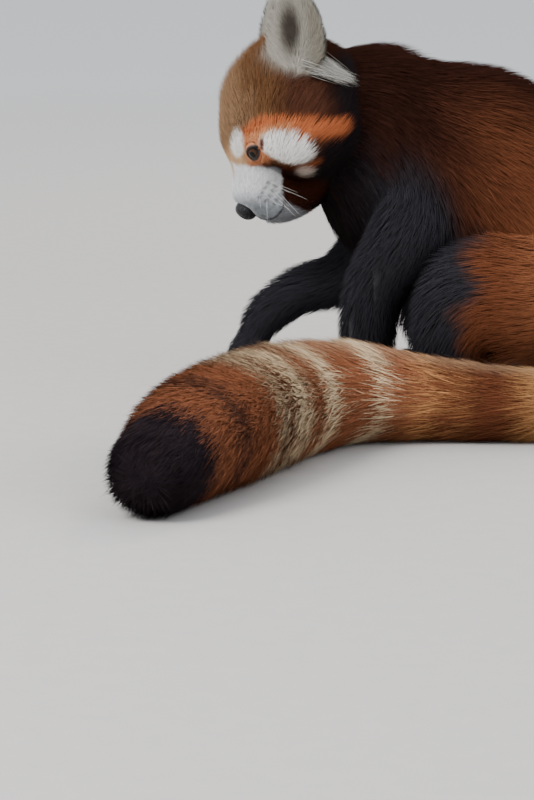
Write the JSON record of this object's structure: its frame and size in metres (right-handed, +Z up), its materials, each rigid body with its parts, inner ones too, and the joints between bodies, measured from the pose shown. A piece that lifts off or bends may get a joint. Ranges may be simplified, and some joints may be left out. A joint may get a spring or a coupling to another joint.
{
  "type": "red panda model",
  "caption": "Life-size model of a red panda sitting on its haunches, head bowed, with its thick ringed tail laid forward along its side.",
  "frame": {"origin": "on the floor, under the middle of the whole model's bounding box", "axes": "+Z up; the animal faces -X with its left side to -Y, and its tail is laid forward on the floor at -Y"},
  "size_m": [0.4184, 0.5522, 0.3305],
  "materials": {
    "rust_fur": "dense fur, rust to mahogany",
    "dark_fur": "black-brown fur",
    "face_fur": "short brown fur with white cheek and muzzle patches",
    "ear_fur": "pale grey-white fur with a dark middle",
    "tail_fur": "long fur in rust and cream rings with a dark tip",
    "eye": "wet dark brown",
    "nose": "damp black skin"
  },
  "bodies": {
    "root": {"torso": "rust_fur", "neck": "rust_fur", "head": "face_fur", "nose": "nose", "eye_left": "eye", "eye_right": "eye", "ear_left": "ear_fur", "ear_right": "ear_fur", "foreleg_left": "dark_fur", "foreleg_right": "dark_fur", "hindleg_left": "rust_fur", "hindleg_right": "rust_fur", "tail_1": "tail_fur", "tail_2": "tail_fur", "tail_3": "tail_fur", "tail_4": "tail_fur", "tail_5": "tail_fur"}
  },
  "joints": []
}
